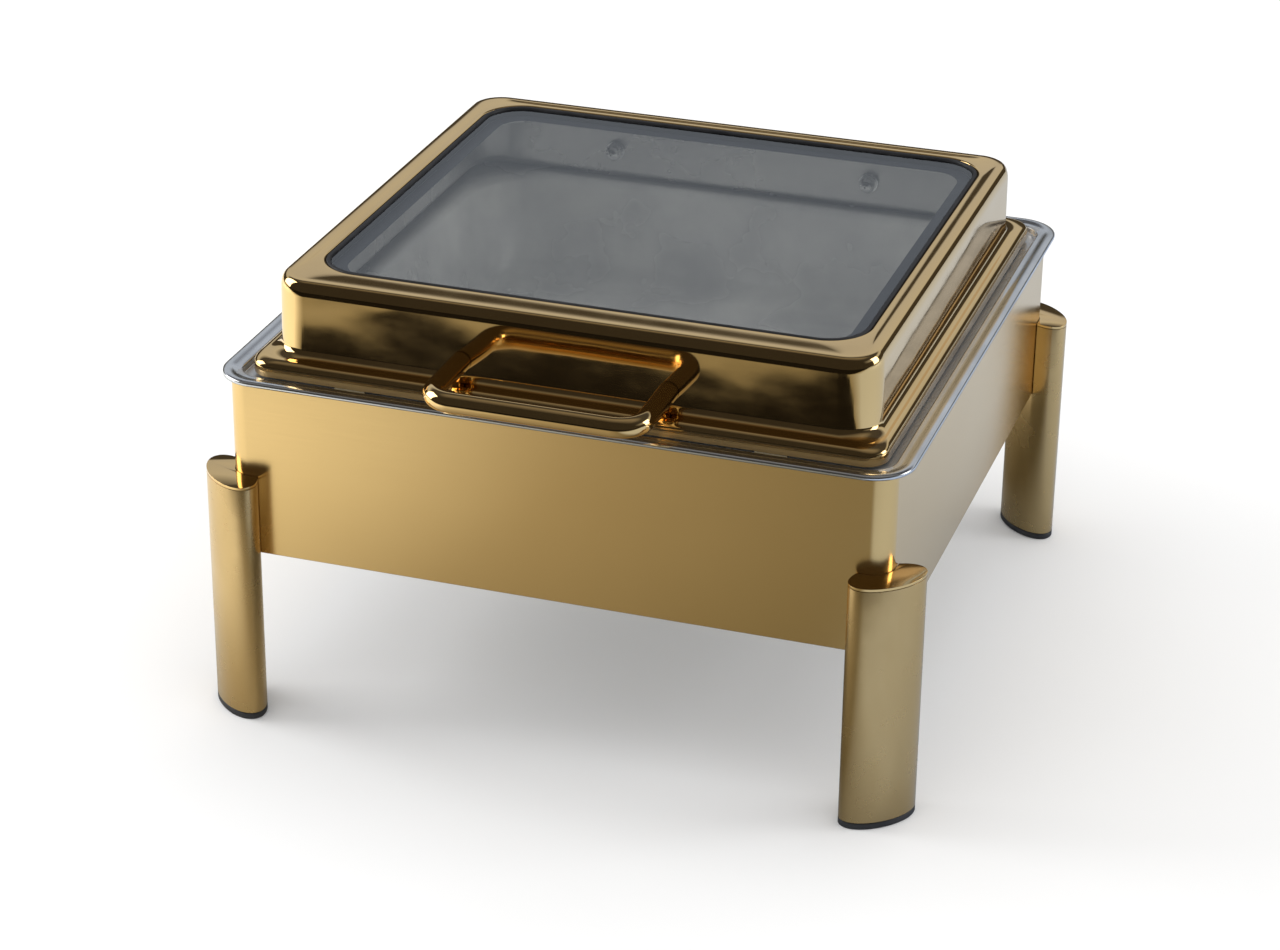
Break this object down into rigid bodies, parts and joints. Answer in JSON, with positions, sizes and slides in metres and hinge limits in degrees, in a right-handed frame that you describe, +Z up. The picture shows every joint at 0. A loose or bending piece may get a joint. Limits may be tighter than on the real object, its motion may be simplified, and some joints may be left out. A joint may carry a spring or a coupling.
{
  "type": "roll top chafer",
  "caption": "Square buffet chafer in gold-coated steel: smoked-glass lid on a hydraulic hinge with a loop handle, food pan over a water pan, wrap-round skirt and oval corner legs.",
  "frame": {"origin": "on the floor under the middle of the chafer, handle and hinge included", "axes": "+X to the right seen from the front, +Y to the rear where the hinge is, +Z up; the handle is at -Y"},
  "size_m": [0.4144, 0.448, 0.2569],
  "materials": {
    "polished_gold": "mirror-polished stainless steel with a gold vapour coating",
    "satin_gold": "satin stainless steel with a gold vapour coating",
    "satin_steel": "satin stainless steel",
    "chrome": "polished",
    "black_rubber": "matt black silicone rubber",
    "smoked_glass": "smoked tempered glass"
  },
  "bodies": {
    "stand": {"skirt_band": "satin_gold", "leg_front_left": "satin_gold", "leg_front_right": "satin_gold", "leg_rear_left": "satin_gold", "leg_rear_right": "satin_gold", "leg_cap_front_left": "polished_gold", "leg_cap_front_right": "polished_gold", "leg_cap_rear_left": "polished_gold", "leg_cap_rear_right": "polished_gold", "foot_front_left": "black_rubber", "foot_front_right": "black_rubber", "foot_rear_left": "black_rubber", "foot_rear_right": "black_rubber", "leg_bracket_front_left": "satin_steel", "leg_bracket_front_right": "satin_steel", "leg_bracket_rear_left": "satin_steel", "leg_bracket_rear_right": "satin_steel", "leg_screw_front_left": "satin_steel", "leg_screw_front_right": "satin_steel", "leg_screw_rear_left": "satin_steel", "leg_screw_rear_right": "satin_steel"},
    "pan_unit": {"water_pan": "satin_steel", "lid_bumper_front_left": "black_rubber", "lid_bumper_front_right": "black_rubber", "lid_bumper_rear_left": "black_rubber", "lid_bumper_rear_right": "black_rubber", "hinge_base": "satin_steel", "base_screw_left": "chrome", "base_screw_right": "chrome", "damper_barrel": "chrome", "damper_cap_left": "satin_gold", "damper_cap_right": "satin_gold"},
    "food_pan_body": {"food_pan": "satin_steel"},
    "lid": {"lid_shell": "polished_gold", "glass_panel": "smoked_glass", "glass_gasket": "black_rubber", "glass_retainer": "satin_steel", "retainer_screw_left": "satin_steel", "retainer_screw_right": "satin_steel", "retainer_screw_front": "satin_steel", "retainer_screw_rear": "satin_steel", "handle_bar": "polished_gold", "handle_washer_left": "satin_steel", "handle_washer_right": "satin_steel", "hinge_arm_left": "polished_gold", "hinge_arm_right": "polished_gold", "hinge_spindle": "satin_steel", "damper_rotor": "satin_steel", "handle_screw_left": "chrome", "handle_screw_right": "chrome", "hinge_bolt_left": "chrome", "hinge_bolt_right": "chrome", "hinge_washer_left": "chrome", "hinge_washer_right": "chrome", "dome_nut_left": "chrome", "dome_nut_right": "chrome", "spindle_cap_left": "chrome", "spindle_cap_right": "chrome"}
  },
  "joints": [
    {"name": "pan_unit_lift", "type": "slide", "parent": "stand", "child": "pan_unit", "axis": [0, 0, 1], "range_m": [0, 0.12]},
    {"name": "lid_hinge", "type": "hinge", "parent": "pan_unit", "child": "lid", "pos_m": [0, 0.211, 0.191], "axis": [-1, 0, 0], "range_deg": [0, 90]},
    {"name": "food_pan_lift", "type": "slide", "parent": "pan_unit", "child": "food_pan_body", "axis": [0, 0, 1], "range_m": [0, 0.0025]}
  ]
}
